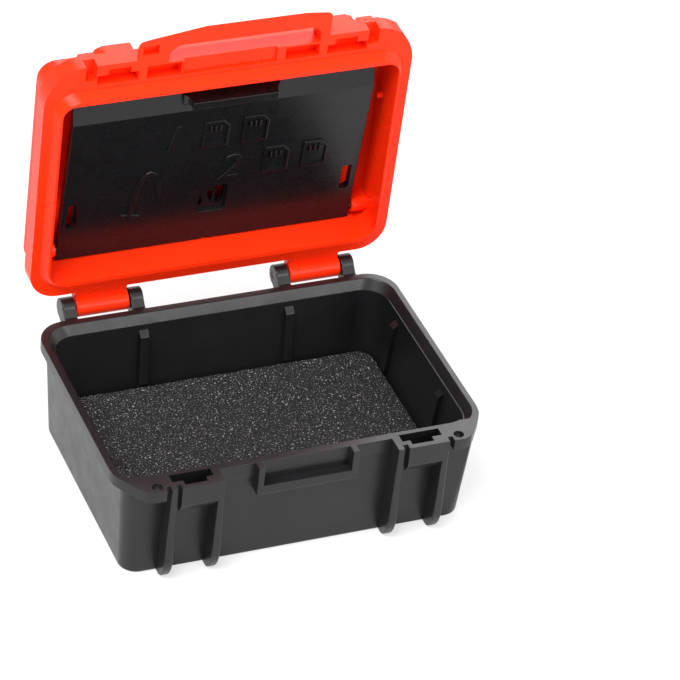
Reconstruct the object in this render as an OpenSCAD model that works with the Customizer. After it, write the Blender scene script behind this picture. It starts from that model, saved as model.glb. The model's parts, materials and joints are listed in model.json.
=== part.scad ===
// Small hinged storage case for memory cards, shown open: black base with a foam pad, orange lid with a black
// card flap inside. Millimetres, +Z up. Origin: centre of the base at its resting face. The lid is drawn shut
// and then turned open about the hinge axis; depth in the lid runs up from its sealing face.

/* [Base] */
// Overall width of both rims
case_w = 96; // [80:1:120]
// Half of the rim's depth, front to back
rim_half = 35; // [30:0.5:45]
// Height of the base to its rim
base_h = 29; // [20:0.5:40]
// Thickness of the base's rim flange
rim_t = 3.1; // [2:0.1:5]
// Thickness of the base's floor
floor_t = 2; // [1.2:0.1:4]
// Draft of the outer walls, floor to rim
wall_draft = 1.5; // [0:0.1:3]
// Radius of the two strap holes in the front corners
strap_r = 1.3; // [0.8:0.1:2]

/* [Hinge] */
// Distance of the hinge axis behind the centre
hinge_y = 39.5; // [38:0.1:42]
// Height of the hinge axis
hinge_z = 29.4; // [28:0.1:31]
// Radius of the hinge knuckles
knuckle_r = 2.75; // [2:0.05:3.5]
// Radius of the steel hinge pins
pin_r = 1.0; // [0.6:0.05:1.5]
// Radial play of the lid's knuckles on the pins
pin_play = 0.05; // [0.01:0.01:0.1]
// Angle that the lid stands open at, from shut
open_angle = 87; // [0:1:110]

/* [Lid] */
// Gap between the two rims when shut
rim_gap = 0.25; // [0.2:0.05:0.5]
// Thickness of the lid's rim flange
lid_rim_t = 4.9; // [3:0.1:6]
// Height of the lid from its sealing face
lid_h = 12.4; // [10:0.1:20]
// Thickness of the lid's top
lid_top_t = 2; // [1.2:0.1:4]
// Height of the sealing ridge that goes into the base
ridge_h = 2.5; // [1:0.1:3]

/* [Card flap] */
// Half width of the flap
flap_half = 39.5; // [36:0.5:41]
// Thickness of the flap's plate
flap_t = 2; // [1.2:0.1:3]
// Tilt of the flap out of the lid
flap_tilt = 5.3; // [0:0.1:8]
// Radius of the flap's pivot pegs
peg_r = 1.0; // [0.6:0.05:1.5]
// Size of one card pocket along the hinge
card_l = 32.4; // [32:0.1:34]
// Size of one card pocket across the hinge
card_w = 24.4; // [24:0.1:26]

/* [Foam] */
// Thickness of the foam pad
foam_t = 7; // [3:0.5:12]

/* [Hidden] */
$fn = 64;
half_w = case_w / 2;
seal_z = base_h + rim_gap;
rim_z = base_h - rim_t;
black = [0.07, 0.07, 0.075];
orange = [0.95, 0.16, 0.04];
steel = [0.65, 0.65, 0.67];
grey_foam = [0.12, 0.12, 0.13];
// Walls of the cavities at the rims
cav_x = 44.9;
cav_back = 31.5;
cav_front = -28.2;
lid_cav_x = 43.7;
lid_cav_back = 29.3;
lid_cav_front = -25.45;
// Axis of the flap's pegs, in the shut lid
flap_y = rim_half - 9.8;
flap_z = seal_z + 6.6;

// Turns its children from the shut lid to the open one
module opened() {
    translate([0, hinge_y, hinge_z])
        rotate([-open_angle, 0, 0])
            translate([0, -hinge_y, -hinge_z])
                children();
}

// A profile of [y, z] points, drawn along X between two places
module along_x(x0, x1, points) {
    translate([x0, 0, 0])
        rotate([90, 0, 90])
            linear_extrude(x1 - x0)
                polygon(points);
}

// A profile of [x, z] points, drawn along Y between two places
module along_y(y0, y1, points) {
    translate([0, y1, 0])
        rotate([90, 0, 0])
            linear_extrude(y1 - y0)
                polygon(points);
}

module box(x0, x1, y0, y1, z0, z1) {
    translate([x0, y0, z0])
        cube([x1 - x0, y1 - y0, z1 - z0]);
}

// The same shape on the left and on the right
module both() {
    children();
    mirror([1, 0, 0])
        children();
}

// Block with rounded upright edges of radius r and walls that move out by grow from z0 to z1
module drafted(hx, y0, y1, r, z0, z1, grow) {
    along_y(y0 + r, y1 - r, [[-hx, z0], [hx, z0], [hx + grow, z1], [-hx - grow, z1]]);
    along_x(-hx + r, hx - r, [[y0, z0], [y1, z0], [y1 + grow, z1], [y0 - grow, z1]]);
    both() {
        translate([hx - r, y0 + r, z0])
            cylinder(h = z1 - z0, r1 = r, r2 = r + grow);
        translate([hx - r, y1 - r, z0])
            cylinder(h = z1 - z0, r1 = r, r2 = r + grow);
    }
}

// Plate with rounded back corners and cut front corners, shared by both rims
module rim_plate(z0, z1) {
    back_r = 7.6;
    translate([0, 0, z0])
        linear_extrude(z1 - z0)
            polygon([[-half_w, rim_half - back_r], [-half_w, -23.4], [-47.6, -25.9], [-46.4, -28.2],
                [-43.3, -32.7], [-42, -34.2], [-40, -rim_half], [40, -rim_half], [42, -34.2],
                [43.3, -32.7], [46.4, -28.2], [47.6, -25.9], [half_w, -23.4],
                [half_w, rim_half - back_r]]);
    box(-half_w + back_r, half_w - back_r, 0, rim_half, z0, z1);
    both()
        translate([half_w - back_r, rim_half - back_r, z0])
            cylinder(h = z1 - z0, r = back_r);
}

// Pocket in the shape of a T, in the top of a latch seat on the right
module tee_pocket(z0, z1) {
    box(24.5, 35, -32, -29.4, z0, z1);
    box(26.5, 32.3, -33.6, -31.9, z0, z1);
}

// One of the four uprights on the front, wider and set back at its foot
module front_rib(x) {
    intersection() {
        along_y(-rim_half, -29, [[x - 1.15, 0], [x + 1.15, 0], [x + 0.72, base_h], [x - 0.72, base_h]]);
        along_x(x - 2, x + 2, [[-29, 0], [-32.4, 0], [-35, 5.6], [-35, base_h], [-29, base_h]]);
    }
}

// Solid seat between two uprights, sloped in at its lower edge
module latch_seat() {
    along_x(23, 35.5, [[-29, 20.6], [-33.4, 20.9], [-35, 23.3], [-35, base_h], [-29, base_h]]);
}

// Stiffening ribs inside the walls of the base
module wall_ribs() {
    for (x = [-19.7, 19.7])
        along_x(x - 1.2, x + 1.2, [[31.9, 25.6], [29.9, 23.6], [28.7, 9.4], [31.9, 9.4]]);
    both()
        for (y = [-10.3, 19])
            along_y(y - 1.2, y + 1.2, [[45.3, 24.9], [43.3, 22.9], [42.1, 9.4], [45.3, 9.4]]);
}

// Catch in the middle of the front: a shelf between two posts
module front_catch() {
    along_x(-13.1, 13.1, [[-29, 20.9], [-32.8, 20.6], [-32.8, 23.2], [-29, 23.2]]);
    both()
        along_x(11.4, 13.1, [[-29, 20.9], [-32.8, 20.6], [-32.8, base_h], [-29, base_h]]);
}

// Base knuckle on its foot behind the rim
module base_knuckle(x0, x1) {
    translate([x0, hinge_y, hinge_z])
        rotate([0, 90, 0])
            cylinder(h = x1 - x0, r = knuckle_r);
    along_x(x0, x1, [[33.5, rim_z], [33.5, base_h], [35.6, base_h], [37.2, hinge_z + 1.4],
        [hinge_y, hinge_z], [40.8, hinge_z - 2.4], [39.6, hinge_z - 2.75], [36.6, rim_z - 0.9],
        [34.9, rim_z - 2.6], [33, rim_z - 2.6]]);
}

// Base: drafted shell with a flanged rim, front uprights, latch seats, catch and hinge knuckles
module base_shell() {
    color(black)
        difference() {
            union() {
                intersection() {
                    drafted(44.7, -29.7, 31.8, 4.5, 0, rim_z + 1, wall_draft);
                    box(-50, 50, -29.9, 50, -1, 40);
                }
                difference() {
                    rim_plate(rim_z, base_h);
                    box(-22.4, 22.4, -40, -30.3, rim_z - 1, base_h + 1);
                    both()
                        box(36.02, 37.2, -40, -33.2, rim_z - 1, base_h + 1);
                }
                along_x(-22.4, 22.4, [[-29, 24.2], [-30.3, 24.8], [-30.3, base_h], [-29, base_h]]);
                both() {
                    front_rib(23.2);
                    front_rib(35.3);
                    latch_seat();
                    base_knuckle(36, 39.5);
                    base_knuckle(18, 21.5);
                }
                front_catch();
            }
            difference() {
                union() {
                    drafted(cav_x - 2.2, -25.7, cav_back - 2.2, 4.2, floor_t, 26.5, 2.2);
                    intersection() {
                        drafted(cav_x - 0.1, -28.3, cav_back - 0.1, 6.3, 26.4, base_h + 0.1, 1.7);
                        box(-50, 50, cav_front, 50, 26, base_h + 1);
                    }
                }
                wall_ribs();
            }
            both() {
                tee_pocket(23.6, base_h + 1);
                translate([39.1, -32.85, rim_z - 1])
                    cylinder(h = rim_t + 2, r = strap_r);
                translate([17, hinge_y, hinge_z])
                    rotate([0, 90, 0])
                        cylinder(h = 21.7, r = pin_r);
            }
            // Grooves beside the left edge of each latch seat
            box(23.95, 25.35, -36, -33.3, 20, base_h + 1);
            box(-34.6, -33.4, -36, -33.3, 20, base_h + 1);
        }
}

// Pad of foam that lies on the base's floor
module foam_pad() {
    color(grey_foam)
        drafted(42.2, -25.2, 28.8, 4, floor_t, floor_t + foam_t, 0.6);
}

// Steel pin of one hinge, seen from the right-hand side
module hinge_pin() {
    color(steel)
        translate([18.1, hinge_y, hinge_z])
            rotate([0, 90, 0])
                cylinder(h = 20.5, r = pin_r);
}

module hinge_pin_right() {
    hinge_pin();
}

module hinge_pin_left() {
    mirror([1, 0, 0])
        hinge_pin();
}

// Body of the lid behind its rim, with softened upper edges
module lid_body() {
    z0 = seal_z + lid_rim_t - 0.5;
    z1 = seal_z + lid_h;
    drafted(45.7, -30.3, 32.4, 7, z0, z1 - 2.4, -0.3);
    drafted(45.4, -30, 32.1, 6.7, z1 - 2.4, z1 - 0.9, -0.8);
    drafted(44.6, -29.2, 31.3, 5.9, z1 - 0.9, z1, -1.5);
}

// Latch lump of the lid, above the seat of the base, with a lower step beside it
module lid_latch() {
    translate([0, 0, seal_z + 1])
        linear_extrude(7)
            polygon([[24.3, -29], [24.3, -rim_half], [31.6, -rim_half], [33.4, -34.3], [34.2, -32.8],
                [34.2, -29]]);
    box(34, 38.3, -34.6, -29, seal_z + 3, seal_z + 6.6);
}

// What is cut from the lid's rim in front of each corner: its sloping back, and a notch beside the latch lump
module corner_relief() {
    along_x(34.2, half_w + 1, [[-rim_half - 1, seal_z + 0.4], [-rim_half + 0.3, seal_z + 0.4],
        [-31, seal_z + lid_rim_t + 0.1], [-rim_half - 1, seal_z + lid_rim_t + 0.1]]);
    box(35.2, 38, -rim_half - 1, -30.8, seal_z - 1, seal_z + 3.1);
}

// Fixed handle in front of the lid's rim, sloped at its back, with a finger opening and a shallow recess
module handle() {
    z1 = seal_z + lid_rim_t;
    difference() {
        intersection() {
            translate([0, 0, seal_z])
                linear_extrude(lid_rim_t)
                    polygon([[-25, -33], [-25, -40.4], [-24, -41.4], [-18, -42.8], [18, -42.8], [24, -41.4],
                        [25, -40.4], [25, -33]]);
            along_x(-26, 26, [[-32, seal_z], [-42.8, seal_z], [-42.6, seal_z + 0.5], [-38.9, z1], [-32, z1]]);
            along_y(-44, -32, [[-25, seal_z], [25, seal_z], [25, seal_z + 0.5], [23.2, z1], [-23.2, z1],
                [-25, seal_z + 0.5]]);
        }
        translate([0, 0, seal_z - 1])
            linear_extrude(lid_rim_t + 2)
                polygon([[-17, -32.5], [-17, -36.2], [-14.6, -38], [20.8, -38], [22.4, -36.6],
                    [22.4, -32.5]]);
        box(-24.1, -19.8, -40.6, -36.3, seal_z - 1, seal_z + 1.6);
    }
}

// Arm from the lid's rim to its knuckle
module lid_knuckle() {
    translate([21.8, hinge_y, hinge_z])
        rotate([0, 90, 0])
            cylinder(h = 13.9, r = knuckle_r);
    along_x(21.8, 35.7, [[34, seal_z + 0.15], [hinge_y, seal_z + 0.15], [hinge_y, hinge_z + knuckle_r],
        [37.6, hinge_z + knuckle_r], [35, seal_z + lid_rim_t - 0.6], [34, seal_z + lid_rim_t - 0.6]]);
}

// Lug that carries one peg of the flap, on the right
module flap_lug() {
    translate([40, flap_y, flap_z])
        rotate([0, 90, 0])
            cylinder(h = 4.5, r = 1.95);
    box(40, 44.5, flap_y - 1.95, flap_y + 1.95, flap_z, seal_z + lid_h - 1);
}

// Lid: flanged rim with a sealing ridge, body, handle, latch lumps, knuckles and lugs of the flap
module lid_shell() {
    color(orange)
        opened()
            difference() {
                union() {
                    difference() {
                        union() {
                            difference() {
                                rim_plate(seal_z, seal_z + lid_rim_t);
                                box(-22.4, 22.4, -40, -33.4, seal_z - 1, seal_z + 10);
                                both()
                                    tee_pocket(seal_z - 1, seal_z + 3.4);
                                both() {
                                    box(13.5, 22.4, -32.9, -29.3, seal_z - 1, seal_z + 3);
                                    corner_relief();
                                }
                                box(-12.9, 11.2, -rim_half, -29.2, seal_z - 1, seal_z + 0.8);
                            }
                            drafted(44.4, -26.65, 30.4, 5.4, seal_z - ridge_h, seal_z + 0.5, 1.68);
                            lid_body();
                            difference() {
                                both()
                                    lid_latch();
                                both()
                                    tee_pocket(seal_z - 1, seal_z + 3.4);
                            }
                            handle();
                            both()
                                lid_knuckle();
                        }
                        drafted(lid_cav_x, lid_cav_front, lid_cav_back, 3.2, seal_z - ridge_h - 1,
                            seal_z + lid_h - lid_top_t, -0.8);
                    }
                    both() {
                        flap_lug();
                        // Bump that the flap snaps behind
                        translate([42.2, rim_half - 45.4, seal_z + 5])
                            rotate([0, 90, 0])
                                cylinder(h = 1.8, r = 0.75);
                    }
                }
                both() {
                    translate([21, hinge_y, hinge_z])
                        rotate([0, 90, 0])
                            cylinder(h = 15.5, r = pin_r + pin_play);
                    translate([39, flap_y, flap_z])
                        rotate([0, 90, 0])
                            cylinder(h = 3.9, r = peg_r + 0.06);
                }
            }
}

// Card pocket on the reverse of the flap: three walls with a narrow lip over the card's ends
module card_pocket(x) {
    half = card_l / 2;
    z0 = flap_t - 0.2;
    z1 = flap_t + 2.3;
    translate([x, 0, 0]) {
        box(-half - 1.2, half + 1.2, -4.8, -3.6, z0, z1);
        for (side = [-1, 1])
            scale([side, 1, 1])
                along_y(-3.6 - card_w + 6, -3.6, [[half, z0], [half + 1.2, z0], [half + 1.2, z1 + 0.7],
                    [half - 1, z1 + 0.7], [half - 1, z1], [half, z1]]);
        // Finger that keeps the card in
        along_x(-2.5, 2.5, [[-4.1 - card_w, z0], [-5.6 - card_w, z0], [-5.3 - card_w, z0 + 1.1],
            [-4.8 - card_w, z0 + 1.1]]);
    }
}

// Finger tab: a lip that stands out from the flap's front edge, flared at its root
module flap_tab() {
    intersection() {
        along_x(-12, 15, [[-43.3, 0.8], [-44.6, -0.4], [-44.6, -2.9], [-46.7, -2.9], [-47, 1.6],
            [-43.3, 1.6]]);
        along_y(-50, -40, [[-11.6, 1.7], [-11.3, 0.4], [-10.4, -0.5], [-9.9, -1.5], [-9.9, -3], [12.4, -3],
            [12.4, -1.5], [12.9, -0.5], [13.8, 0.4], [14.1, 1.7]]);
    }
}

// What is cut from the flap's plate: windows at both sides, and a dish with a hole and a slit in the middle
module flap_openings() {
    both()
        translate([0, 0, -1])
            linear_extrude(flap_t + 2)
                polygon([[35.3, -15.1], [37.9, -15.1], [37.9, -8], [37.2, -7.2], [36.2, -7.2], [35.3, -8]]);
    box(-3.2, 4.3, -15, -6.4, -1, 0.8);
    translate([0, 0, -1])
        linear_extrude(flap_t + 2)
            polygon([[-0.8, -12.7], [0.9, -12.8], [1.8, -14.5], [3.6, -14.5], [3.9, -9.4], [2.9, -8],
                [0.8, -8], [-0.4, -10.5]]);
    translate([0, 0, -1])
        linear_extrude(flap_t + 2)
            polygon([[-3, -12.4], [-1.8, -9.6], [-2.2, -7.9], [-3, -8.3]]);
    box(-0.7, 0.7, 2.6, 4, -1, flap_t + 1);
}

// Flap in its own frame: pivot axis on X, plate towards -Y, face down
module flap_flat() {
    difference() {
        union() {
            along_x(-flap_half, flap_half, [[3.2, 0], [-41.8, 0], [-47, 1.6], [-46.4, 2.6],
                [-44.6, flap_t + 0.3], [-42.2, flap_t], [3.2, flap_t]]);
            flap_tab();
            for (x = [-18.4, 18.4])
                card_pocket(x);
            translate([-42.6, 0, 1])
                rotate([0, 90, 0])
                    cylinder(h = 85.2, r = peg_r);
        }
        flap_openings();
    }
}

// Flap with card pockets, hinged inside the lid
module card_flap() {
    color(black)
        opened()
            translate([0, flap_y, flap_z])
                rotate([flap_tilt, 0, 0])
                    translate([0, 0, -1])
                        flap_flat();
}

base_shell();
foam_pad();
lid_shell();
hinge_pin_left();
hinge_pin_right();
card_flap();
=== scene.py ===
"""Looks of the memory card case: base and lid shells, card flap, hinge pins and foam pad, shown open.

Pieces are shaped in millimetres, the lid and its flap as if shut. Each is then swung open where it
belongs to the lid, and brought to metres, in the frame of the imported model.
"""

import json
import math

import bmesh
import bpy
from mathutils import Matrix, Vector


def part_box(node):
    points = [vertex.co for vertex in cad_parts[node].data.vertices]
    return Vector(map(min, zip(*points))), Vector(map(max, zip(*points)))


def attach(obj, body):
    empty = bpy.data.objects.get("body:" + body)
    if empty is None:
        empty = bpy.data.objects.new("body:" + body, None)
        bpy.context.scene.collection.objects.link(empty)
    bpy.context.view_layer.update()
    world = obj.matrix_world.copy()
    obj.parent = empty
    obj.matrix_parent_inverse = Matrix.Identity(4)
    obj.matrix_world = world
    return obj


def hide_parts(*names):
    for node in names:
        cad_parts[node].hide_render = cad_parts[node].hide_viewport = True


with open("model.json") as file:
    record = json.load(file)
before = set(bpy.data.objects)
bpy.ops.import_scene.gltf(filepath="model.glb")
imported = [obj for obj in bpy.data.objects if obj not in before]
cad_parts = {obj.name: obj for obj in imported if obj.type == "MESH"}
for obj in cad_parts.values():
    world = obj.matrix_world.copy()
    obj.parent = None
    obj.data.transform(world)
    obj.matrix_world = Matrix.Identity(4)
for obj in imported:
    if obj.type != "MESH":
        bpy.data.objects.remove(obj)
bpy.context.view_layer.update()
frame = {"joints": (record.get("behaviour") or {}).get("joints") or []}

# Driving sizes in millimetres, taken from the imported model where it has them
MM = 0.001
joints = {joint["name"]: joint for joint in frame["joints"]}
hinge_at = Vector(joints["lid_hinge"]["pos_m"]) / MM
open_angle = math.radians(joints["lid_hinge"]["range_deg"][1])
pin_low, pin_high = (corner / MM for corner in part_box("hinge_pin_right"))
foam_low, foam_high = (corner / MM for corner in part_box("foam_pad"))
half_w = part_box("base_shell")[1].x / MM
rim_half = 35
rim_top = 29
rim_thick = 3.1
rim_low = rim_top - rim_thick
floor_thick = 2
seal = rim_top + 0.25
lid_rim_thick = 4.9
lid_height = 12.4
ridge = 2.5
knuckle_r = 2.75
flap_tilt = math.radians(5.3)
flap_at = Vector((0, rim_half - 9.8, seal + 6.6))
mark_height = 0.5
pin_r = pin_high.y - hinge_at.y

# A slanted direction in which hardly any two points lie level
SORT_ALONG = (7.13, 31.7, 173.9)


# Small moves that every piece is made with


def deselect():
    bpy.ops.object.select_all(action="DESELECT")


def only(piece):
    deselect()
    piece.select_set(True)
    bpy.context.view_layer.objects.active = piece


def settle(piece):
    """Puts the piece's place, turn and size into its mesh."""
    only(piece)
    bpy.ops.object.transform_apply(location=True, rotation=True, scale=True)
    return piece


def block(low, high):
    deselect()
    low, high = Vector(low), Vector(high)
    bpy.ops.mesh.primitive_cube_add(size=1, location=(low + high) / 2)
    piece = bpy.context.object
    piece.scale = high - low
    return settle(piece)


def rod(radius, start, end, y, z, sides=48):
    """Cylinder along X."""
    deselect()
    bpy.ops.mesh.primitive_cylinder_add(
        vertices=sides, radius=radius, depth=end - start,
        location=((start + end) / 2, y, z), rotation=(0, math.pi / 2, 0))
    return settle(bpy.context.object)


def drawn(outline, along, start, end):
    """An outline drawn across one axis and pulled out along it."""
    def place(point, reach):
        u, v = point
        return {"x": (reach, u, v), "y": (u, reach, v), "z": (u, v, reach)}[along]
    deselect()
    bpy.ops.mesh.primitive_circle_add(vertices=len(outline), fill_type="NGON")
    piece = bpy.context.object
    for vertex, point in zip(piece.data.vertices, outline):
        vertex.co = place(point, start)
    bpy.ops.object.mode_set(mode="EDIT")
    bpy.ops.mesh.select_all(action="SELECT")
    bpy.ops.mesh.extrude_region_move(TRANSFORM_OT_translate={"value": place((0, 0), end - start)})
    bpy.ops.mesh.select_all(action="SELECT")
    bpy.ops.mesh.normals_make_consistent(inside=False)
    bpy.ops.object.mode_set(mode="OBJECT")
    return piece


def bevel(piece, width, steps, wanted):
    """Rounds the edges for which wanted(edge) holds."""
    only(piece)
    bpy.ops.object.mode_set(mode="EDIT")
    bpy.ops.mesh.select_all(action="DESELECT")
    mesh = bmesh.from_edit_mesh(piece.data)
    for edge in mesh.edges:
        if wanted(edge):
            edge.select_set(True)
    bmesh.update_edit_mesh(piece.data)
    bpy.ops.mesh.bevel(offset=width, segments=steps, affect="EDGES", clamp_overlap=True)
    bpy.ops.object.mode_set(mode="OBJECT")
    return piece


def middle(edge):
    return (edge.verts[0].co + edge.verts[1].co) / 2


def upright(edge):
    a, b = (vertex.co for vertex in edge.verts)
    return abs(a.z - b.z) > 0.9 * (a - b).length


def sharp(edge, least=25):
    """A corner that sticks out, not a hollow one."""
    return edge.is_manifold and edge.calc_face_angle_signed(0) > math.radians(least)


def soften(piece, width=0.25, steps=2, where=None):
    return bevel(piece, width, steps, lambda edge: sharp(edge) and (where is None or where(middle(edge))))


def clean(piece):
    """Merges doubled points and flat splits that a cut leaves."""
    only(piece)
    bpy.ops.object.mode_set(mode="EDIT")
    bpy.ops.mesh.select_all(action="SELECT")
    bpy.ops.mesh.remove_doubles(threshold=0.004)
    bpy.ops.mesh.dissolve_limited(angle_limit=math.radians(0.5))
    bpy.ops.object.mode_set(mode="OBJECT")
    return piece


def put_in_order(piece):
    """Sorts the mesh by place, so that the next step meets its parts in the same order each run."""
    mesh = bmesh.new()
    mesh.from_mesh(piece.data)
    mesh.verts.sort(key=lambda vertex: vertex.co.dot(SORT_ALONG))
    mesh.edges.sort(key=lambda edge: middle(edge).dot(SORT_ALONG))
    mesh.faces.sort(key=lambda face: face.calc_center_median().dot(SORT_ALONG))
    mesh.to_mesh(piece.data)
    mesh.free()


def mend(piece):
    """Closes hairline gaps that are left where rounded edges meet."""
    put_in_order(piece)
    only(piece)
    bpy.ops.object.mode_set(mode="EDIT")
    bpy.ops.mesh.select_all(action="SELECT")
    bpy.ops.mesh.remove_doubles(threshold=0.045)
    bpy.ops.mesh.dissolve_degenerate(threshold=0.004)
    bpy.ops.mesh.select_all(action="DESELECT")
    bpy.ops.mesh.select_mode(type="EDGE")
    bpy.ops.mesh.select_non_manifold(
        extend=False, use_wire=False, use_multi_face=False, use_non_contiguous=False, use_verts=False)
    bpy.ops.mesh.fill_holes(sides=0)
    bpy.ops.mesh.select_all(action="SELECT")
    bpy.ops.mesh.normals_make_consistent(inside=False)
    bpy.ops.object.mode_set(mode="OBJECT")
    return piece


def combine(piece, others, how):
    for other in others:
        only(piece)
        step = piece.modifiers.new("combine", "BOOLEAN")
        step.operation = how
        step.solver = "EXACT"
        step.object = other
        bpy.ops.object.modifier_apply(modifier=step.name)
        bpy.data.objects.remove(other)
    return piece


def fuse(piece, *others):
    return combine(piece, others, "UNION")


def cut(piece, *others):
    return combine(piece, others, "DIFFERENCE")


def join(piece, *others):
    """Puts closed shapes that are sunk into a piece into its mesh."""
    only(piece)
    for other in others:
        other.select_set(True)
    bpy.ops.object.join()
    return piece


def trim(piece, *others):
    return combine(piece, others, "INTERSECT")


def drafted(hx, y0, y1, r, z0, z1, grow, steps=8):
    """Block with rounded upright edges, whose walls move out by grow from z0 to z1."""
    piece = block((-hx, y0, z0), (hx, y1, z1))
    for vertex in piece.data.vertices:
        if vertex.co.z > (z0 + z1) / 2:
            vertex.co.x += math.copysign(grow, vertex.co.x)
            vertex.co.y += grow if vertex.co.y > (y0 + y1) / 2 else -grow
    return bevel(piece, r, steps, lambda edge: abs(edge.verts[0].co.z - edge.verts[1].co.z) > 0.5 * (z1 - z0))


def pair(make):
    """A piece and its mirror image."""
    right, left = make(), make()
    left.scale.x = -1
    settle(left)
    bpy.ops.object.mode_set(mode="EDIT")
    bpy.ops.mesh.select_all(action="SELECT")
    bpy.ops.mesh.normals_make_consistent(inside=False)
    bpy.ops.object.mode_set(mode="OBJECT")
    return right, left


def swing_open(piece):
    piece.matrix_world = (
        Matrix.Translation(hinge_at) @ Matrix.Rotation(-open_angle, 4, "X") @ Matrix.Translation(-hinge_at))
    return settle(piece)


def finish_piece(piece, name, body, finish, nodes, smooth=32):
    """Brings a piece to metres, shades it, names it, gives it its finish and attaches it to its body."""
    piece.scale = (MM, MM, MM)
    settle(piece)
    piece.name = name
    piece.data.name = name
    bpy.ops.object.shade_smooth_by_angle(angle=math.radians(smooth))
    weigh = piece.modifiers.new("weigh", "WEIGHTED_NORMAL")
    weigh.keep_sharp = True
    bpy.ops.object.modifier_apply(modifier=weigh.name)
    piece.data.materials.clear()
    piece.data.materials.append(finish)
    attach(piece, body)
    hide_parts(*nodes)
    return piece


# Materials


def new_material(name):
    material = bpy.data.materials.new(name)
    material.use_nodes = True
    nodes = material.node_tree.nodes
    return material, nodes, material.node_tree.links, nodes["Principled BSDF"]


def noise(nodes, links, place, scale, detail=3.0, rough=0.5):
    texture = nodes.new("ShaderNodeTexNoise")
    texture.inputs["Scale"].default_value = scale
    texture.inputs["Detail"].default_value = detail
    texture.inputs["Roughness"].default_value = rough
    links.new(place.outputs["Object"], texture.inputs["Vector"])
    return texture


def spread(nodes, links, source, low, high):
    """Maps a 0 to 1 value to a range."""
    span = nodes.new("ShaderNodeMapRange")
    span.inputs["From Min"].default_value = 0.3
    span.inputs["From Max"].default_value = 0.7
    span.inputs["To Min"].default_value = low
    span.inputs["To Max"].default_value = high
    links.new(source, span.inputs["Value"])
    return span.outputs["Result"]


def tint(nodes, links, source, dark, light):
    ramp = nodes.new("ShaderNodeValToRGB")
    ramp.color_ramp.elements[0].position = 0.3
    ramp.color_ramp.elements[0].color = (*dark, 1)
    ramp.color_ramp.elements[1].position = 0.7
    ramp.color_ramp.elements[1].color = (*light, 1)
    links.new(source, ramp.inputs["Fac"])
    return ramp.outputs["Color"]


def relief(nodes, links, source, depth, strength):
    bump = nodes.new("ShaderNodeBump")
    bump.inputs["Distance"].default_value = depth
    bump.inputs["Strength"].default_value = strength
    links.new(source, bump.inputs["Height"])
    return bump


def moulded(name, dark, light, rough_low, rough_high, grain_size, grain, specular=0.5):
    """Moulded plastic: faint flow shades, uneven gloss and a fine grain."""
    material, nodes, links, shader = new_material(name)
    place = nodes.new("ShaderNodeTexCoord")
    flow = noise(nodes, links, place, 38, 4)
    links.new(tint(nodes, links, flow.outputs["Fac"], dark, light), shader.inputs["Base Color"])
    wear = noise(nodes, links, place, 210, 6, 0.62)
    links.new(spread(nodes, links, wear.outputs["Fac"], rough_low, rough_high), shader.inputs["Roughness"])
    skin = noise(nodes, links, place, 1 / grain_size, 4, 0.6)
    bump = relief(nodes, links, skin.outputs["Fac"], grain, 0.6)
    links.new(bump.outputs["Normal"], shader.inputs["Normal"])
    shader.inputs["Specular IOR Level"].default_value = specular
    return material


def base_plastic():
    return moulded("base_black", dark=(0.006, 0.006, 0.007), light=(0.010, 0.010, 0.011),
                   rough_low=0.28, rough_high=0.38, grain_size=0.0006, grain=0.00003, specular=0.4)


def lid_plastic():
    """Brightly dyed plastic, less glossy than the black."""
    return moulded("lid_orange", dark=(0.97, 0.028, 0.003), light=(1.0, 0.033, 0.004),
                   rough_low=0.26, rough_high=0.32, grain_size=0.0009, grain=0.00002, specular=0.15)


def flap_plastic():
    return moulded("flap_black", dark=(0.004, 0.004, 0.005), light=(0.007, 0.007, 0.008),
                   rough_low=0.24, rough_high=0.31, grain_size=0.0008, grain=0.00002, specular=0.37)


def pin_metal():
    """Blackened steel: rings round the pin and a dull drawn sheen."""
    material, nodes, links, shader = new_material("pin_steel")
    place = nodes.new("ShaderNodeTexCoord")
    stretch = nodes.new("ShaderNodeMapping")
    stretch.inputs["Scale"].default_value = (9000, 300, 300)
    links.new(place.outputs["Object"], stretch.inputs["Vector"])
    rings = nodes.new("ShaderNodeTexNoise")
    rings.inputs["Scale"].default_value = 1
    links.new(stretch.outputs["Vector"], rings.inputs["Vector"])
    links.new(tint(nodes, links, rings.outputs["Fac"], (0.05, 0.05, 0.052), (0.09, 0.09, 0.092)),
              shader.inputs["Base Color"])
    links.new(spread(nodes, links, rings.outputs["Fac"], 0.22, 0.4), shader.inputs["Roughness"])
    bump = relief(nodes, links, rings.outputs["Fac"], 0.00002, 0.5)
    links.new(bump.outputs["Normal"], shader.inputs["Normal"])
    shader.inputs["Metallic"].default_value = 1
    return material


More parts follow.
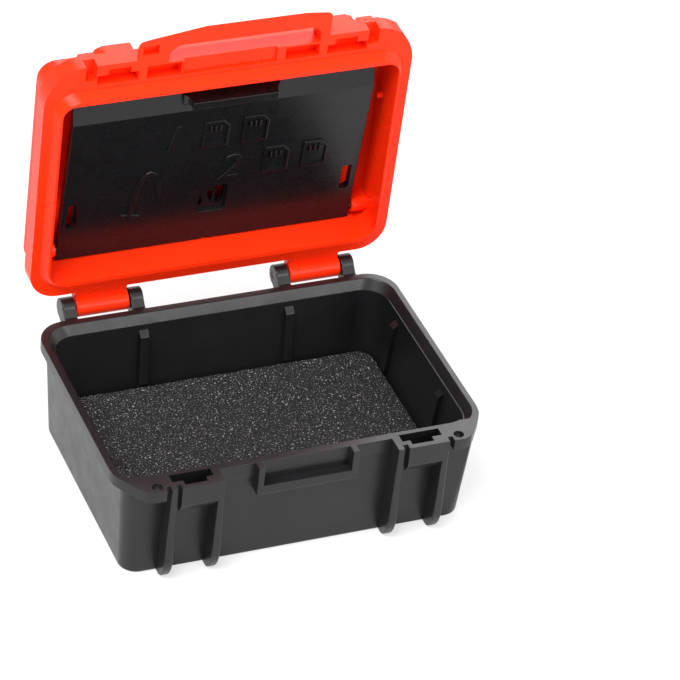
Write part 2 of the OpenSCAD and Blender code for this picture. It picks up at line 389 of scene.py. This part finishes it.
def foam_cells():
    """Open-cell foam: near-black pores that are painted shade, grey struts, and bright specks on some struts
    that are painted glints.
    """
    material, nodes, links, shader = new_material("foam_grey")
    place = nodes.new("ShaderNodeTexCoord")
    warp = noise(nodes, links, place, 1400, 3)
    mixer = nodes.new("ShaderNodeVectorMath")
    mixer.operation = "MULTIPLY_ADD"
    mixer.inputs[1].default_value = (0.0004, 0.0004, 0.0004)
    links.new(warp.outputs["Color"], mixer.inputs[0])
    links.new(place.outputs["Object"], mixer.inputs[2])
    cells = nodes.new("ShaderNodeTexVoronoi")
    cells.feature = "F1"
    cells.inputs["Scale"].default_value = 2500
    links.new(mixer.outputs["Vector"], cells.inputs["Vector"])
    glint_speck = noise(nodes, links, place, 2600, 4, 0.7)
    pore_shade_and_glint = nodes.new("ShaderNodeMath")
    pore_shade_and_glint.operation = "MULTIPLY"
    links.new(cells.outputs["Distance"], pore_shade_and_glint.inputs[0])
    links.new(glint_speck.outputs["Fac"], pore_shade_and_glint.inputs[1])
    # Colour ramp: its dark end is painted shade in the pores, its bright end is painted glints on the struts,
    # and the middle grey is the foam's own colour.
    ramp = nodes.new("ShaderNodeValToRGB")
    ramp.color_ramp.elements[0].position = 0.12
    ramp.color_ramp.elements[0].color = (0.003, 0.003, 0.0034, 1)
    ramp.color_ramp.elements[1].position = 0.58
    ramp.color_ramp.elements[1].color = (0.6, 0.58, 0.57, 1)
    strut = ramp.color_ramp.elements.new(0.37)
    strut.color = (0.03, 0.03, 0.032, 1)
    links.new(pore_shade_and_glint.outputs["Value"], ramp.inputs["Fac"])
    links.new(ramp.outputs["Color"], shader.inputs["Base Color"])
    bump = relief(nodes, links, pore_shade_and_glint.outputs["Value"], 0.0004, 1)
    links.new(bump.outputs["Normal"], shader.inputs["Normal"])
    shader.inputs["Roughness"].default_value = 0.85
    shader.inputs["Specular IOR Level"].default_value = 0.25
    return material


# Shapes that the base and the lid share


def rim_plate(right, z0, z1):
    """Flange with rounded back corners, its front corner on the right given as points."""
    left = [(-x, y) for x, y in reversed(right)]
    piece = drawn(right + [(half_w, rim_half), (-half_w, rim_half)] + left, "z", z0, z1)
    return bevel(piece, 7.6, 10, lambda edge: upright(edge) and middle(edge).y > rim_half - 1)


def tee_pocket(z0, z1):
    return fuse(block((24.5, -32, z0), (35, -29.4, z1)), block((26.5, -33.6, z0), (32.3, -31.9, z1)))


# Base


def front_rib(x):
    """Upright on the front, wider and set back at its foot."""
    foot = [(-31.6, 0), (-32.5, 0.5), (-33.5, 1.7), (-34.3, 3.2), (-34.8, 4.8), (-rim_half, 6.6)]
    piece = drawn([(-29, 0), *foot, (-rim_half, rim_top), (-29, rim_top)], "x", x - 1.15, x + 1.15)
    for vertex in piece.data.vertices:
        narrow = 0.43 * vertex.co.z / rim_top
        vertex.co.x -= math.copysign(narrow, vertex.co.x - x)
    return soften(piece, 0.35, 3)


def latch_seat():
    piece = drawn([(-29, 20.6), (-33.4, 20.9), (-rim_half, 23.3), (-rim_half, rim_top), (-29, rim_top)],
                  "x", 23, 35.5)
    return soften(piece, 0.25)


def catch_frame():
    """Shelf between two posts, in the middle of the front."""
    shelf = soften(drawn([(-29, 20.95), (-32.75, 20.65), (-32.75, 23.2), (-29, 23.2)], "x", -12.9, 12.9), 0.3)
    posts = pair(lambda: soften(
        drawn([(-29, 20.9), (-32.8, 20.6), (-32.8, rim_top), (-29, rim_top)], "x", 11.4, 13.1), 0.25))
    return fuse(shelf, *posts)


def base_knuckle(x0, x1):
    barrel = soften(rod(knuckle_r, x0, x1, hinge_at.y, hinge_at.z), 0.3, 3)
    outline = [(33.5, rim_low), (33.5, rim_top), (35.6, rim_top), (37.2, hinge_at.z + 1.4),
               (hinge_at.y, hinge_at.z), (40.8, hinge_at.z - 2.4), (39.6, hinge_at.z - 2.75),
               (36.6, rim_low - 0.9), (34.9, rim_low - 2.6), (33, rim_low - 2.6)]
    return fuse(barrel, soften(drawn(outline, "x", x0 + 0.02, x1 - 0.02), 0.25))


def wall_ribs():
    """Stiffening ribs on the inside of the walls, above the pad."""
    half_thick = 1.2
    at_back = [(32.3, 25.6), (31.9, 25.6), (29.9, 23.6), (28.7, 9.4), (31.2, 9.4)]
    back = [soften(drawn(at_back, "x", x - half_thick, x + half_thick), 0.3) for x in (-19.7, 19.7)]
    at_side = [(45.4, 24.9), (45.3, 24.9), (43.3, 22.9), (42.1, 9.4), (44.6, 9.4)]
    sides = []
    for y in (-10.3, 19):
        sides += pair(lambda: soften(drawn(at_side, "y", y - half_thick, y + half_thick), 0.3))
    return back + sides


def base_hollow():
    """Room inside the base, which flares just below the rim, less the ribs that stand in it."""
    lower = drafted(42.7, -25.7, 29.3, 6.2, floor_thick, rim_top + 0.2, 2.44)
    soften(lower, 1.2, 4, lambda p: p.z < floor_thick + 0.1)
    upper = drafted(45.2, -28.3, 31.8, 6.3, 26.4, rim_top + 0.1, 1.3, 10)
    cut(upper, block((-60, -40, 20), (60, -27.6, 40)))
    return [cut(lower, *wall_ribs()), upper]


def base_piece():
    body = drafted(44.7, -29.7, 31.8, 4.5, 0, rim_low + 1, 1.5)
    cut(body, block((-60, -40, -1), (60, -29.9, 40)))
    soften(body, 0.7, 3, lambda p: p.z < 0.1)
    cut_corner = [(40, -rim_half), (42, -34.2), (43.3, -32.7), (46.4, -28.2), (47.6, -25.9), (half_w, -23.4)]
    rim = rim_plate(cut_corner, rim_low, rim_top)
    cut(rim, block((-22.4, -40, rim_low - 1), (22.4, -30.3, rim_top + 1)))
    cut(rim, *pair(lambda: block((36.02, -40, rim_low - 1), (37.2, -33.2, rim_top + 1))))
    fuse(body, rim)
    clean(body)
    soften(body, 0.28, 2, lambda p: p.z > rim_low - 0.1)
    front = [drawn([(-29, 24.2), (-30.3, 24.8), (-30.3, rim_top), (-29, rim_top)], "x", -22.4, 22.4)]
    soften(front[0], 0.25)
    for make in (lambda: front_rib(23.2), lambda: front_rib(35.3), latch_seat,
                 lambda: base_knuckle(36, 39.5), lambda: base_knuckle(18, 21.5)):
        front += pair(make)
    fuse(body, *front, catch_frame())
    cut(body, *base_hollow())
    clean(body)
    soften(body, 0.28, 2, lambda p: p.z > rim_top - 0.01 and abs(p.x) < 46.6 and -28.5 < p.y < 33.2)
    cut(body, *pair(lambda: tee_pocket(23.6, rim_top + 1)))
    strap = pair(lambda: drill(39.1, -32.85, 1.3, rim_low - 1, rim_top + 1))
    bores = pair(lambda: rod(pin_r, 17, 38.7, hinge_at.y, hinge_at.z, 32))
    cut(body, *strap, *bores)
    cut(body, block((23.95, -36, 20), (25.35, -33.3, rim_top + 1)),
        block((-34.6, -36, 20), (-33.4, -33.3, rim_top + 1)))
    return body


def drill(x, y, r, z0, z1):
    deselect()
    bpy.ops.mesh.primitive_cylinder_add(vertices=32, radius=r, depth=z1 - z0, location=(x, y, (z0 + z1) / 2))
    return settle(bpy.context.object)


# Lid, shaped as if shut


def lid_latch():
    face = -rim_half - 0.04
    lump = drawn([(24.3, -29), (24.3, face), (31.6, face), (33.4, -34.3), (34.2, -32.8), (34.2, -29)],
                 "z", seal + 1, seal + 8)
    soften(lump, 0.45, 3)
    tab = soften(block((34, -34.6, seal + 3), (38.3, -29, seal + 6.6)), 0.4)
    return fuse(lump, tab)


def handle():
    """Fixed bar in front of the rim, sloped at its back and lower at its left end."""
    root = -33.7
    bar = drawn([(-25, root), (-25, -39.8), (-24.4, -40.4), (-22.5, -40.8), (-14.5, -41.9), (-11.5, -42.35),
                 (-8, -42.8), (18, -42.8), (24, -42.1), (25, -41.2), (25, root)],
                "z", seal + 0.03, seal + lid_rim_thick - 0.05)
    for vertex in bar.data.vertices:
        if vertex.co.z > seal + 1:
            vertex.co.x -= math.copysign(1.6, vertex.co.x)
            vertex.co.y = min(vertex.co.y + 4.2, root)
    return soften(bar, 0.5, 3)


def finger_opening():
    opening = drawn([(-17, -33.4), (-17, -36.2), (-14.6, -38), (20.8, -38), (22.4, -36.6), (22.4, -33.4)],
                    "z", seal - 1, seal + lid_rim_thick + 1)
    return bevel(opening, 1.2, 4, lambda edge: upright(edge) and middle(edge).y < -35)


def lid_knuckle():
    barrel = soften(rod(knuckle_r, 21.8, 35.7, hinge_at.y, hinge_at.z), 0.3, 3)
    crown = hinge_at.z + knuckle_r
    arm = drawn([(34, seal + 0.15), (hinge_at.y, seal + 0.15), (hinge_at.y, crown), (37.6, crown),
                 (35, seal + lid_rim_thick - 0.6), (34, seal + lid_rim_thick - 0.6)], "x", 21.82, 35.68)
    return fuse(barrel, soften(arm, 0.3))


def flap_lug():
    r, x0, x1 = 1.95, 40, 44.5
    boss = soften(rod(r, x0, x1, flap_at.y, flap_at.z), 0.25)
    web = block((x0, flap_at.y - r, flap_at.z), (x1, flap_at.y + r, seal + lid_height - 1))
    return fuse(boss, soften(web, 0.25))


def lid_piece():
    round_corner = [(39, -rim_half), (41.7, -34.2), (44.5, -32.7), (46.5, -29.7), (47.6, -27.1),
                    (half_w, -24.8)]
    rim = rim_plate(round_corner, seal, seal + lid_rim_thick)
    top = seal + lid_height
    body = drafted(45.7, -30.3, 32.4, 4.8, seal + lid_rim_thick - 0.5, top, -0.6, 8)
    soften(body, 1.3, 5, lambda p: p.z > top - 0.1)
    lip = drafted(44.4, -26.65, 30.4, 5.4, seal - ridge, seal + 0.5, 1.68, 10)
    hollow = drafted(43.7, -25.45, 29.3, 3.2, seal - ridge - 1, top - 2, -0.8, 10)
    soften(hollow, 1.0, 4, lambda p: p.z > top - 2.1)
    fuse(rim, body, lip)
    cut(rim, *pair(lambda: block((35.2, -rim_half - 1, seal - 1), (38, -30.8, seal + 3.1))), hollow)
    clean(rim)
    soften(rim, 0.3, 3, lambda p: p.z < top - 3)
    fuse(rim, *pair(lid_latch), handle())
    cut(rim, finger_opening(), *pair(lambda: tee_pocket(seal - 1, seal + 3.4)),
        *pair(lambda: block((13.5, -32.9, seal - 1), (22.35, -29.3, seal + 3))),
        block((-12.9, -36, seal - 1), (11.2, -29.2, seal + 0.8)),
        block((-23.9, -38.9, seal - 1), (-19.8, -36.3, seal + 1.5)))
    clean(rim)
    soften(rim, 0.16, 2, lambda p: abs(p.z - seal) < 0.02 and p.y < -29.1 and abs(p.x) < 35.1)
    fuse(rim, *pair(lid_knuckle))
    bumps = pair(lambda: soften(rod(0.75, 42.2, 44, rim_half - 45.4, seal + 5, 24), 0.4, 3))
    fuse(rim, *pair(flap_lug), *bumps)
    bores = pair(lambda: rod(pin_r + 0.05, 21, 36.5, hinge_at.y, hinge_at.z, 32))
    sockets = pair(lambda: rod(1.06, 39, 42.9, flap_at.y, flap_at.z, 32))
    cut(rim, *bores, *sockets)
    return swing_open(mend(rim))


# Flap, shaped flat about its own pivot


def card_pocket(x):
    """Three walls that hold a card, with a lip over its two ends and a finger that keeps it in."""
    half, length, low, high = 16.2, 24.4, 1.8, 4.3
    far, near = -length + 2.4, -3.6
    walls = drawn([(x + u, v) for u, v in (
        (-half - 1.2, far), (-half - 1.2, near), (half + 1.2, near), (half + 1.2, far), (half, far),
        (half, near - 1.2), (-half, near - 1.2), (-half, far))], "z", low, high + 0.4)
    outer = sorted((x + math.copysign(half - 2, x), x + math.copysign(half + 2, x)))
    pieces = [soften(walls, 0.2)]
    for side in (-1, 1):
        ends = sorted((x + side * (half - 1), x + side * (half + 1.17)))
        pieces.append(soften(block((ends[0], far + 0.03, high), (ends[1], near - 0.03, high + 0.7)), 0.2))
    finger = drawn([(-4.1 - length, low), (-5.6 - length, low), (-5.3 - length, low + 1.1),
                    (-4.8 - length, low + 1.1)], "x", x - 2.5, x + 2.5)
    for piece in pieces:
        cut(piece, block((outer[0], -15.6, low + 0.3), (outer[1], -2.8, high + 2)))
    return pieces + [soften(finger, 0.2)]


def band(points, width):
    """Outline of a line whose left edge runs along the points."""
    inner = []
    for index, (x, y) in enumerate(points):
        before, after = points[max(index - 1, 0)], points[min(index + 1, len(points) - 1)]
        way = Vector((after[0] - before[0], after[1] - before[1])).normalized()
        inner.append((x - width * way.y, y + width * way.x))
    return points + inner[::-1]


def raised(outline):
    """A mark that stands a little out of the flap's face."""
    return soften(drawn(outline, "z", -mark_height, 0.5), 0.2, 2, lambda p: p.z < 0.1 - mark_height)


def turn_arrow():
    """Bent arrow that shows which way the flap turns."""
    path = [(-22.3, -9.5), (-21.1, -17.5), (-19.8, -21.2), (-18.6, -22.8), (-17.2, -23.3), (-15.8, -22.4),
            (-14.6, -19.8), (-13.6, -14.5)]
    return raised(band(path, 1.3) + [(-18.6, -8.8), (-21.6, -5.2), (-24, -9.8)])


def card_mark(x, y):
    """Outline of a card with one cut corner, and its contacts."""
    wide, tall, line = 7, 8.6, 0.75
    outer = [(x, y), (x, y - tall), (x + wide - 2, y - tall), (x + wide, y - tall + 2), (x + wide, y)]
    inner = [(x + line, y - line), (x + line, y - tall + line), (x + wide - 2.3, y - tall + line),
             (x + wide - line, y - tall + 2.3), (x + wide - line, y - line)]
    frame_line = cut(raised(outer), drawn(inner, "z", -1, 1))
    contacts = [raised([(u, y - tall + 1.7), (u + 0.6, y - tall + 1.7), (u + 0.6, y - tall + 3.6),
                        (u, y - tall + 3.6)]) for u in (x + 1.6, x + 2.9, x + 4.2)]
    return join(frame_line, *contacts)


def numeral(figure, x, y, size):
    """A plain number in relief, read from the flap's face."""
    deselect()
    bpy.ops.object.text_add(location=(x, y, 0.1), rotation=(math.pi, 0, 0))
    letter = bpy.context.object
    letter.data.body = figure
    letter.data.size = size
    letter.data.shear = 0.2
    letter.data.offset = -0.02
    letter.data.bevel_depth = 0.15
    letter.data.extrude = mark_height - 0.05
    bpy.ops.object.convert(target="MESH")
    letter = settle(bpy.context.object)
    bpy.ops.object.mode_set(mode="EDIT")
    bpy.ops.mesh.select_all(action="SELECT")
    bpy.ops.mesh.remove_doubles(threshold=0.002)
    bpy.ops.mesh.normals_make_consistent(inside=False)
    bpy.ops.object.mode_set(mode="OBJECT")
    return letter


def flap_tab():
    """Lip that stands out from the flap's front edge, flared at its root."""
    lip = drawn([(-43.3, 0.8), (-44.6, -0.4), (-44.6, -2.9), (-46.7, -2.9), (-47, 1.55), (-43.3, 1.55)],
                "x", -12, 15)
    flare = [(-11.6, 1.6), (-11.3, 0.4), (-10.4, -0.5), (-9.9, -1.5), (-9.9, -3),
             (12.4, -3), (12.4, -1.5), (12.9, -0.5), (13.8, 0.4), (14.1, 1.6)]
    trim(lip, drawn(flare, "y", -50, -40))
    return soften(clean(lip), 0.35, 3, lambda p: p.z < 1.4)


def flap_piece():
    thick = 2
    plate = drawn([(3.2, 0), (-41.8, 0), (-47, 1.6), (-46.4, 2.6), (-44.6, thick + 0.3), (-42.2, thick),
                   (3.2, thick)], "x", -39.5, 39.5)
    trim(plate, bevel(block((-39.5, -47.2, -1), (39.5, 3.2, 5)), 1.3, 4,
                      lambda edge: upright(edge) and middle(edge).y < 0))
    clean(plate)
    soften(plate, 0.22, 2)
    windows = pair(lambda: drawn([(35.3, -15.1), (37.9, -15.1), (37.9, -8), (37.2, -7.2), (36.2, -7.2),
                                  (35.3, -8)], "z", -1, thick + 1))
    cut(plate, *windows, block((-0.7, 2.6, -1), (0.7, 4, thick + 1)))
    dish = bevel(block((-3.2, -15, -1), (4.3, -6.4, 0.8)), 0.9, 4, upright)
    hole = bevel(drawn([(-0.8, -12.7), (0.9, -12.8), (1.8, -14.5), (3.6, -14.5), (3.9, -9.4), (2.9, -8),
                        (0.8, -8), (-0.4, -10.5)], "z", -1, thick + 1), 0.4, 3, upright)
    slit = drawn([(-3, -12.4), (-1.8, -9.6), (-2.2, -7.9), (-3, -8.3)], "z", -1, thick + 1)
    cut(plate, dish, hole, slit)
    clean(plate)
    soften(plate, 0.3, 2, lambda p: abs(p.z) < 0.01 and (abs(p.y + 6.4) < 0.1 or abs(p.y + 7.2) < 0.1))
    pegs = pair(lambda: soften(rod(1, 39, 42.6, 0, 1.02, 32), 0.2))
    fuse(plate, flap_tab(), *pegs, *card_pocket(-18.4), *card_pocket(18.4))
    join(plate, turn_arrow(), numeral("1", -16, -29.4, 11.5), card_mark(-5, -28.9), card_mark(5.5, -28.9),
         numeral("2", 0.5, -17.2, 11.5), card_mark(12.5, -17.4), card_mark(23, -17.4))
    plate.matrix_world = (
        Matrix.Translation(flap_at) @ Matrix.Rotation(flap_tilt, 4, "X") @ Matrix.Translation((0, 0, -1)))
    return swing_open(settle(plate))


# Pins and pad


def hinge_pin(side):
    low, high = sorted((side * pin_low.x, side * pin_high.x))
    return soften(rod(pin_r, low, high, hinge_at.y, hinge_at.z, 48), 0.2, 3)


def foam_piece():
    """Pad with a coarse cut top, its cells torn open by the knife."""
    pad = drafted(42.2, -25.2, 28.8, 4, foam_low.z, foam_high.z, 0.4)
    soften(pad, 0.5, 3)
    only(pad)
    grid = pad.modifiers.new("grid", "REMESH")
    grid.mode = "VOXEL"
    grid.voxel_size = 0.5
    bpy.ops.object.modifier_apply(modifier=grid.name)
    top = pad.vertex_groups.new(name="cut_top")
    top.add([v.index for v in pad.data.vertices if v.co.z > foam_high.z - 1.5], 1, "REPLACE")
    for label, kind, size, depth in (("cells", "VORONOI", 0.9, 0.4), ("waves", "CLOUDS", 9, 0.2)):
        texture = bpy.data.textures.new("foam_" + label, kind)
        texture.noise_scale = size
        press = pad.modifiers.new(label, "DISPLACE")
        press.texture = texture
        press.vertex_group = top.name
        press.mid_level = 0.85
        press.strength = depth
        bpy.ops.object.modifier_apply(modifier=press.name)
    return pad


# Stage


def pale(name):
    """Pale surface, part of whose white is its own where the camera sees it or gloss shows it."""
    material, nodes, links, shader = new_material(name)
    shader.inputs["Base Color"].default_value = (0.88, 0.88, 0.88, 1)
    shader.inputs["Roughness"].default_value = 0.9
    shader.inputs["Specular IOR Level"].default_value = 0.1
    glow = nodes.new("ShaderNodeEmission")
    glow.inputs["Color"].default_value = (1, 1, 1, 1)
    path = nodes.new("ShaderNodeLightPath")
    parts = []
    for ray, amount in (("Is Camera Ray", 0.6), ("Is Glossy Ray", 0.5)):
        part = nodes.new("ShaderNodeMath")
        part.operation = "MULTIPLY"
        part.inputs[1].default_value = amount
        links.new(path.outputs[ray], part.inputs[0])
        parts.append(part.outputs[0])
    total = nodes.new("ShaderNodeMath")
    links.new(parts[0], total.inputs[0])
    links.new(parts[1], total.inputs[1])
    mix = nodes.new("ShaderNodeMixShader")
    links.new(total.outputs[0], mix.inputs["Fac"])
    links.new(shader.outputs["BSDF"], mix.inputs[1])
    links.new(glow.outputs["Emission"], mix.inputs[2])
    links.new(mix.outputs["Shader"], nodes["Material Output"].inputs["Surface"])
    return material


def add_floor():
    deselect()
    bpy.ops.mesh.primitive_plane_add(size=6)
    floor = bpy.context.object
    floor.name = "floor"
    floor.data.materials.append(pale("floor_white"))


def add_world():
    world = bpy.data.worlds.new("studio")
    bpy.context.scene.world = world
    world.use_nodes = True
    nodes, links = world.node_tree.nodes, world.node_tree.links
    nodes.clear()
    path = nodes.new("ShaderNodeLightPath")
    seen = nodes.new("ShaderNodeMath")
    seen.operation = "MAXIMUM"
    links.new(path.outputs["Is Camera Ray"], seen.inputs[0])
    links.new(path.outputs["Is Glossy Ray"], seen.inputs[1])
    clear = nodes.new("ShaderNodeMath")
    clear.operation = "MAXIMUM"
    links.new(seen.outputs[0], clear.inputs[0])
    links.new(path.outputs["Is Transmission Ray"], clear.inputs[1])
    room = nodes.new("ShaderNodeBackground")
    room.inputs["Color"].default_value = (1, 1, 1, 1)
    room.inputs["Strength"].default_value = 0.35
    backdrop = nodes.new("ShaderNodeBackground")
    backdrop.inputs["Color"].default_value = (1, 1, 1, 1)
    backdrop.inputs["Strength"].default_value = 1
    mix = nodes.new("ShaderNodeMixShader")
    links.new(clear.outputs[0], mix.inputs["Fac"])
    links.new(room.outputs["Background"], mix.inputs[1])
    links.new(backdrop.outputs["Background"], mix.inputs[2])
    out = nodes.new("ShaderNodeOutputWorld")
    links.new(mix.outputs["Shader"], out.inputs["Surface"])


def add_lamp(name, place, size, power, target=(0, 0, 0.04)):
    deselect()
    bpy.ops.object.light_add(type="AREA", location=place)
    lamp = bpy.context.object
    lamp.name = name
    lamp.data.shape = "SQUARE"
    lamp.data.size = size
    lamp.data.energy = power
    lamp.rotation_euler = (Vector(target) - Vector(place)).to_track_quat("-Z", "Y").to_euler()


def add_camera():
    """Where the photograph was taken from, found by fitting the case's corners."""
    deselect()
    bpy.ops.object.camera_add(location=(-0.29997, -0.65812, 0.58463))
    camera = bpy.context.object
    ahead = Vector((0.35014, 0.72020, -0.59893)).normalized()
    up = Vector((0.15247, 0.58706, 0.79506))
    right = ahead.cross(up).normalized()
    up = right.cross(ahead)
    turn = Matrix((right, up, -ahead)).transposed().to_4x4()
    camera.matrix_world = Matrix.Translation(camera.location) @ turn
    camera.data.lens = 195.42
    camera.data.sensor_width = 36
    camera.data.clip_start = 0.01
    bpy.context.scene.camera = camera


# The object

base_finish, lid_finish, flap_finish = base_plastic(), lid_plastic(), flap_plastic()
steel, cells = pin_metal(), foam_cells()
finish_piece(base_piece(), "base_body", "base", base_finish, ["base_shell"])
finish_piece(lid_piece(), "lid_body", "lid", lid_finish, ["lid_shell"])
finish_piece(flap_piece(), "flap_body", "flap", flap_finish, ["card_flap"], 12)
for side, name in ((1, "right"), (-1, "left")):
    finish_piece(hinge_pin(side), "pin_" + name, "base", steel, ["hinge_pin_" + name])
pad = finish_piece(foam_piece(), "foam_cushion", "base", cells, ["foam_pad"], 60)

add_floor()
add_world()
add_lamp("key", (-0.5, -0.3, 1.1), 0.7, 19)
add_lamp("fill", (0.9, -0.2, 0.6), 0.9, 4)
add_lamp("front", (0.35, -0.9, 0.42), 0.5, 4)
add_lamp("back", (0.45, 0.9, 0.75), 0.8, 7)
add_camera()
bpy.context.scene.view_settings.view_transform = "Standard"
